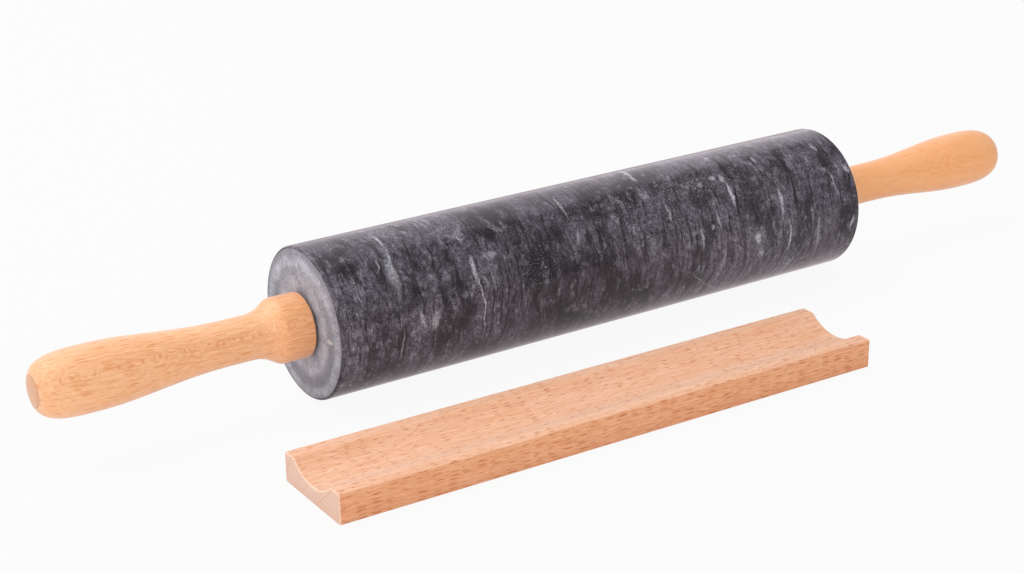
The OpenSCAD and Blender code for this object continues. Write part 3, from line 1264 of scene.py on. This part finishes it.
@dataclass
class TurnedHandle:
    """One beech handle with the wooden plug that closes its end.

    Attributes:
        side: The end of the pin that it is on.
        line: The line of the pin.
        shape: Outline of the handle.
        bore_d: Diameter of the hole for the rod.
        washer_seat: Distance from the collar's face to the bottom of the pocket.
        pocket_d: Diameter of the pocket.
        plug_d: Diameter of the plug.
        plug_len: Length of the plug.
        collar_face: Distance from the middle of the pin to the collar's face.
        joint_chamfer: Chamfer round pocket and plug where they meet.
        chamfer_steps: Number of steps in that chamfer.
        grain_tilt: Angles between the log's pith and the handle.
        steps: Number of steps round it.
    """

    side: Side
    line: PinLine
    shape: HandleShape = field(default_factory=HandleShape)
    bore_d: float = 6.3 * MM
    washer_seat: float = 89.5 * MM
    pocket_d: float = 12.147 * MM
    plug_d: float = 12.107 * MM
    plug_len: float = 9 * MM
    collar_face: float = 128 * MM
    joint_chamfer: float = 0.18 * MM
    chamfer_steps: int = 2
    grain_tilt: Size = (0.0, math.radians(0.8), math.radians(0.6))
    steps: int = 128

    def placed(self, outline: Outline) -> Outline:
        """Outline moved from the collar's face to its place along X."""
        return [(self.side.value * (self.collar_face + h), r) for h, r in outline]

    def build(self) -> None:
        """Builds the handle and its plug."""
        self.handle()
        self.plug()

    def handle(self) -> None:
        """Builds the turned handle with its bore and pocket."""
        bore, pocket = self.bore_d / 2, self.pocket_d / 2
        shape = self.shape
        crown = shape.crown_points(0.0, shape.crown_angle(pocket))
        outside = shape.collar() + shape.cove() + shape.swell() + crown
        outline = [(self.washer_seat, bore), (0.0, bore)] + outside + [(self.washer_seat, pocket)]
        bm = self.line.spin(self.placed(outline), self.steps, closed=True)
        mouth = self.placed([crown[-1]])[0][0]
        bevel(bm, self.line.rim(bm, mouth, pocket), self.joint_chamfer, self.chamfer_steps)
        name = self.side.node("handle")
        card = PieceCard(f"{name}_turned", "handles", Slot.TURNED_WOOD, name)
        card.deliver(bm, self.wood().material())

    def plug(self) -> None:
        """Builds the plug, whose face carries on the rounded end."""
        radius = self.plug_d / 2
        start = self.shape.crown_angle(radius)
        foot = self.shape.length - self.plug_len
        face = [self.shape.crown(start)] + self.shape.crown_points(start, math.pi / 2)
        bm = self.line.spin(self.placed([(foot, 0.0), (foot, radius)] + face), self.steps, closed=False)
        mouth = self.placed([face[0]])[0][0]
        bevel(bm, self.line.rim(bm, mouth, radius), self.joint_chamfer, self.chamfer_steps)
        name = self.side.node("end_plug")
        card = PieceCard(f"{name}_wood", "handles", Slot.TURNED_WOOD, name)
        card.deliver(bm, self.plug_wood().material())

    def wood(self) -> TurnedBeech:
        """Wood of the handle, whose pith lay behind and below the left one, and above the right one."""
        reach, lie = (34 * MM, -25) if self.side is Side.LEFT else (60 * MM, 160)
        pith = (self.side.value * self.collar_face, self.line.y + reach * math.cos(math.radians(lie)),
                self.line.z + reach * math.sin(math.radians(lie)))
        name = f"turned_beech_{self.side.name.lower()}"
        if self.side is Side.LEFT:
            return LadderBeech(name, pith, reach, self.grain_tilt, collar_face=self.collar_face,
                               ladder=math.radians(-lie))
        return TurnedBeech(name, pith, reach, self.grain_tilt, collar_face=self.collar_face,
                           pale=(0.95, 0.48, 0.226), warm=(0.87, 0.345, 0.105),
                           dark_fibre=(0.95, 0.89, 0.81), light_fibre=(1.02, 1.05, 1.08),
                           ring_share=0.5, fleck_share=0.25)

    def plug_wood(self) -> PlugBeech:
        """Wood of the plug, pinker than the handle."""
        reach = 20 * MM
        pith = (self.side.value * self.collar_face, self.line.y - reach, self.line.z)
        name = f"plug_beech_{self.side.name.lower()}"
        return PlugBeech(name, pith, reach, pale=(0.79, 0.425, 0.235), warm=(0.63, 0.30, 0.15),
                         end_grain=(0.73, 0.39, 0.22), ring=2.2 * MM, ring_share=0.7,
                         line=self.line.centre, edge=self.plug_d / 2)


@dataclass
class Cradle:
    """The beech rest with a round trough along its top.

    Attributes:
        length: Length of the rest.
        width: Width of the rest.
        height: Height of the rest.
        trough_w: Width of the trough at the top.
        trough_r: Radius of the trough.
        lip_round: Rounding of the trough's lips.
        edge_round: Rounding of the upper and upright edges.
        edge_steps: Number of steps in that rounding.
        foot_round: Rounding of the edges round the underside.
        foot_steps: Number of steps in that rounding.
        turn: Angle between rest and pin.
        trough_steps: Number of steps in the trough.
        lip_steps: Number of steps in each lip.
    """

    length: float = 235 * MM
    width: float = 40 * MM
    height: float = 11.5 * MM
    trough_w: float = 27.5 * MM
    trough_r: float = 20.5 * MM
    lip_round: float = 2.5 * MM
    edge_round: float = 0.8 * MM
    edge_steps: int = 5
    foot_round: float = 0.3 * MM
    foot_steps: int = 2
    turn: float = math.radians(-1)
    trough_steps: int = 40
    lip_steps: int = 10

    def build(self) -> None:
        """Builds the cradle from its section, rounds its edges and lays it in its place."""
        low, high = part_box("cradle")
        middle = (low + high) / 2
        bm = bmesh.new()
        points = [bm.verts.new((-self.length / 2, y, z)) for y, z in self.section()]
        face = bm.faces.new(points)
        grown = bmesh.ops.extrude_face_region(bm, geom=[face])
        moved = [v for v in grown["geom"] if isinstance(v, bmesh.types.BMVert)]
        bmesh.ops.translate(bm, verts=moved, vec=(self.length, 0, 0))
        bmesh.ops.recalc_face_normals(bm, faces=bm.faces)
        self.round_edges(bm, self.edge_round, self.edge_steps, at_foot=False)
        self.round_edges(bm, self.foot_round, self.foot_steps, at_foot=True)
        place = Matrix.Translation((middle.x, middle.y, 0)) @ Matrix.Rotation(self.turn, 4, "Z")
        bmesh.ops.transform(bm, matrix=place, verts=bm.verts)
        card = PieceCard("cradle_wood", "cradle", Slot.PLANED_WOOD, "cradle")
        piece = card.deliver(bm, self.wood(middle).material())
        # The polished stone doesn't mirror the cradle.
        piece.visible_glossy = False

    def round_edges(self, bm: bmesh.types.BMesh, width: float, segments: int, at_foot: bool) -> None:
        """Rounds the edges round the underside, or all the others.

        Args:
            bm: The cradle.
            width: How far the rounding reaches from the edge.
            segments: Number of steps in the rounding.
            at_foot: Whether the edges round the underside are meant.
        """
        corners = [e for e in bm.edges if e.calc_face_angle() > SMOOTH_BELOW
                   and all(v.co.z < MERGE_DISTANCE for v in e.verts) == at_foot]
        bevel(bm, corners, width, segments)

    def section(self) -> Outline:
        """Outline across the cradle, as distance from its middle line and height."""
        depth = self.trough_r - math.sqrt(self.trough_r ** 2 - (self.trough_w / 2) ** 2)
        rise = self.height - depth + self.trough_r
        seat_z = self.height - self.lip_round
        spread = self.trough_r + self.lip_round
        seat_y = math.sqrt(spread ** 2 - (rise - seat_z) ** 2)
        lean = math.asin(seat_y / spread)
        turns = [lean * i / self.lip_steps for i in range(self.lip_steps)]
        lip = [(seat_y - self.lip_round * math.sin(a), seat_z + self.lip_round * math.cos(a))
               for a in turns]
        angles = [lean - 2 * lean * i / self.trough_steps for i in range(self.trough_steps + 1)]
        trough = [(self.trough_r * math.sin(a), rise - self.trough_r * math.cos(a)) for a in angles]
        far_lip = [(-y, z) for y, z in reversed(lip)]
        half, top = self.width / 2, self.height
        return [(-half, 0.0), (half, 0.0), (half, top)] + lip + trough + far_lip + [(-half, top)]

    def wood(self, middle: Vector) -> PlanedBeech:
        """Wood of the cradle, planed and paler than the handles.

        Args:
            middle: The middle of the cradle.

        Returns:
            The finish.
        """
        reach = 75 * MM
        pith = (middle.x, middle.y + 0.7 * reach, -0.7 * reach)
        return PlanedBeech("planed_beech", pith, reach, (0.0, math.radians(0.8), self.turn),
                           pale=(0.865, 0.53, 0.366), warm=(0.81, 0.40, 0.208),
                           fleck=(0.48, 0.115, 0.035), dark_fibre=(0.88, 0.76, 0.66),
                           light_fibre=(1.05, 1.11, 1.17), end_grain=(0.74, 0.52, 0.415),
                           end_share=0.8, arris_share=0.5, ring=2.4 * MM, ring_share=0.45,
                           ray=(6 * MM, 0.66 * MM, 1.0), fleck_share=0.85, fleck_reach=0.27,
                           roughness=0.5, gloss=0.2, sheen=0.0)


@dataclass
class AxleHardware:
    """The CAD nodes inside the pin, which keep their shapes and get their materials here.

    Attributes:
        steel: Single steel nodes.
        steel_pairs: Steel parts that both ends have.
        nylon_pairs: Plastic parts that both ends have.
    """

    steel: tuple[str, ...] = ("axle_tube", "axle_rod")
    steel_pairs: tuple[str, ...] = ("washer", "nut")
    nylon_pairs: tuple[str, ...] = ("bush", "thrust_washer")

    def build(self) -> None:
        """Dresses every piece of hardware."""
        self.dress(self.steel + self.both_ends(self.steel_pairs), BrightSteel().material())
        self.dress(self.both_ends(self.nylon_pairs), WhiteNylon().material())

    def both_ends(self, parts: tuple[str, ...]) -> tuple[str, ...]:
        """Names of the nodes of parts that both ends have."""
        return tuple(side.node(part) for part in parts for side in Side)

    def dress(self, nodes: tuple[str, ...], material: bpy.types.Material) -> None:
        """Gives a material to CAD nodes.

        Args:
            nodes: Names of the nodes.
            material: The material.
        """
        for name in nodes:
            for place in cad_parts[name].material_slots:
                place.material = material
            log.info("%s: dressed in %s", name, material.name)


@dataclass(frozen=True)
class Lamp:
    """A square soft lamp that points at the pin.

    Attributes:
        name: Name of the lamp.
        place: Where it hangs.
        size: Side of the square.
        power: Power in watts.
    """

    name: str
    place: Size
    size: float
    power: float

    def hang(self) -> None:
        """Adds the lamp to the scene."""
        light = bpy.data.lights.new(self.name, "AREA")
        light.size = self.size
        light.energy = self.power
        lamp = bpy.data.objects.new(self.name, light)
        lamp.location = self.place
        lamp.rotation_euler = (-Vector(self.place)).to_track_quat("-Z", "Y").to_euler()
        bpy.context.scene.collection.objects.link(lamp)


LAMPS = (
    Lamp("key_lamp", place=(-0.6, 0.8, 1.4), size=1.4, power=13.5),
    Lamp("front_lamp", place=(-1.3, -1.5, 1.1), size=1.4, power=10.5),
)


@dataclass
class Studio:
    """Pale floor, soft light and the camera at the photograph's viewing angle.

    Attributes:
        floor_half: Half the side of the floor.
        floor_drop: How far the floor lies below the object.
        white: Brightness of floor and background as the camera sees them.
        floor_colour: Colour of the floor under light.
        shadow_share: How much of the object's shadow the floor shows.
        sky: Strength of the even light all round.
        floor_glow: Brightness of the floor, as polished surfaces mirror it.
        floor_tint: Tint of that glow.
        dim_room: Brightness of the room on the camera's side, as they mirror it.
        room_tint: Tint of the room, as they mirror it.
        bright_wall: Brightness of the wall behind the pin, as they mirror it.
        wall_facing: Direction of the half of the room that the bright wall fills.
        seam_y: Where a seam crosses the floor in front, which they mirror as a thin dark line.
        seam_width: Width of that seam.
        gap: Half the width of the dark gap overhead, as a share of the sky's radius.
        gap_dark: How dark seam and gap are, from 0 to 1.
        camera_place: Where the camera stands.
        azimuth: Direction of its view, about the Z axis.
        elevation: How far it looks down.
        roll: How far it is turned about its own view.
        focal_px: Focal length, in pixels of the picture.
        frame_px: Width of the picture, in pixels.
        sensor: Width of the sensor, in millimetres.
        nearest: Distance at which the camera begins to see.
    """

    floor_half: float = 4.0
    floor_drop: float = 0.05 * MM
    white: float = 0.972
    floor_colour: Colour = (0.90, 0.90, 0.90)
    shadow_share: float = 0.045
    sky: float = 0.72
    floor_glow: float = 0.72
    floor_tint: Colour = (1.06, 0.945, 0.98)
    dim_room: float = 0.47
    room_tint: Colour = (1.03, 0.95, 1.03)
    bright_wall: float = 1.25
    wall_facing: Size = (-0.69, 0.70, 0.22)
    seam_y: float = -0.30
    seam_width: float = 0.02
    gap: float = 0.02
    gap_dark: float = 0.35
    camera_place: Size = (-0.45403, -0.60122, 0.32668)
    azimuth: float = math.radians(-33.472)
    elevation: float = math.radians(21.646)
    roll: float = math.radians(-0.659)
    focal_px: float = 2044.609
    frame_px: float = 1024
    sensor: float = 36.0
    nearest: float = 0.01

    def build(self) -> None:
        """Sets up floor, world, lamps, camera and the view transform."""
        self.floor()
        self.world()
        for lamp in LAMPS:
            lamp.hang()
        self.camera()
        bpy.context.scene.view_settings.view_transform = "Standard"

    def floor(self) -> None:
        """Lays the pale floor, which shows plain white apart from the object's soft shadow."""
        bm = bmesh.new()
        bmesh.ops.create_grid(bm, x_segments=1, y_segments=1, size=self.floor_half)
        bmesh.ops.translate(bm, verts=bm.verts, vec=(0, 0, -self.floor_drop))
        mesh = bpy.data.meshes.new("floor")
        bm.to_mesh(mesh)
        bm.free()
        sheet = NodeSheet("pale_floor")
        sheet.set(base_color=self.floor_colour, roughness=0.9, specular_ior_level=0.0)
        path, mirrored = self.mirrored(sheet)
        seen = sheet.times(path["Is Camera Ray"], 1 - self.shadow_share)
        across = sheet.part(sheet.place, 1)
        off = sheet.math("ABSOLUTE", sheet.math("SUBTRACT", across, self.seam_y))
        dimmed = self.floor_glow * (1 - self.gap_dark)
        seam = sheet.step(off, self.seam_width, 0.0, self.floor_glow, dimmed)
        glow = sheet.node("Emission", {"Color": sheet.mix(mirrored, (1, 1, 1), self.floor_tint),
                                       "Strength": sheet.lerp(mirrored, self.white, seam)})
        share = sheet.math("MAXIMUM", seen, mirrored)
        blend = sheet.node("MixShader", {0: share, 1: sheet.shader.outputs[0], 2: glow})
        sheet.feed(blend, sheet.tree.nodes["Material Output"].inputs["Surface"])
        mesh.materials.append(sheet.material)
        plane = bpy.data.objects.new("floor", mesh)
        bpy.context.scene.collection.objects.link(plane)

    def mirrored(self, sheet: NodeSheet) -> tuple[bpy.types.NodeOutputs, bpy.types.NodeSocket]:
        """Light path outputs, and whether a mirror or glass shows the point."""
        path = sheet.node("LightPath", {}, "Is Camera Ray").node.outputs
        return path, sheet.math("MAXIMUM", path["Is Glossy Ray"], path["Is Transmission Ray"])

    def world(self) -> None:
        """Surrounds the scene with even light, white for the camera, with a room to mirror."""
        world = bpy.data.worlds.new("soft_studio")
        bpy.context.scene.world = world
        world.use_nodes = True
        sheet = NodeSheet.of_world(world)
        path, mirrored = self.mirrored(sheet)
        heading = sheet.node("TexCoord", {}, "Generated")
        wall = sheet.node("VectorMath", {0: heading, 1: self.wall_facing}, "Value",
                          operation="DOT_PRODUCT")
        beside = sheet.math("ABSOLUTE", sheet.part(heading, 1))
        room = sheet.step(beside, self.gap, 0.0, self.dim_room, self.dim_room * (1 - self.gap_dark))
        room = sheet.lerp(sheet.step(wall, -0.05, 0.07), room, self.bright_wall)
        level = sheet.lerp(mirrored, self.sky, room)
        level = sheet.lerp(path["Is Camera Ray"], level, self.white)
        light = world.node_tree.nodes["Background"]
        sheet.feed(level, light.inputs["Strength"])
        sheet.feed(sheet.mix(mirrored, (1, 1, 1), self.room_tint), light.inputs["Color"])

    def camera(self) -> None:
        """Sets the camera where the photograph was taken from."""
        data = bpy.data.cameras.new("camera")
        data.sensor_width = self.sensor
        data.lens = self.focal_px * self.sensor / self.frame_px
        data.clip_start = self.nearest
        camera = bpy.data.objects.new("camera", data)
        heading = Matrix.Rotation(self.azimuth, 4, "Z")
        pitch = Matrix.Rotation(math.pi / 2 - self.elevation, 4, "X")
        camera.matrix_world = (Matrix.Translation(self.camera_place) @ heading @ pitch
                               @ Matrix.Rotation(self.roll, 4, "Z"))
        bpy.context.scene.collection.objects.link(camera)
        bpy.context.scene.camera = camera


def main() -> None:
    """Builds the pin and its cradle in order, then the studio round them."""
    logging.basicConfig(level=logging.INFO, format="%(name)s: %(message)s")
    line = PinLine.from_frame()
    MarbleBarrel(line).build()
    for side in Side:
        TurnedHandle(side, line).build()
    AxleHardware().build()
    Cradle().build()
    Studio().build()


if __name__ == "__main__":
    main()
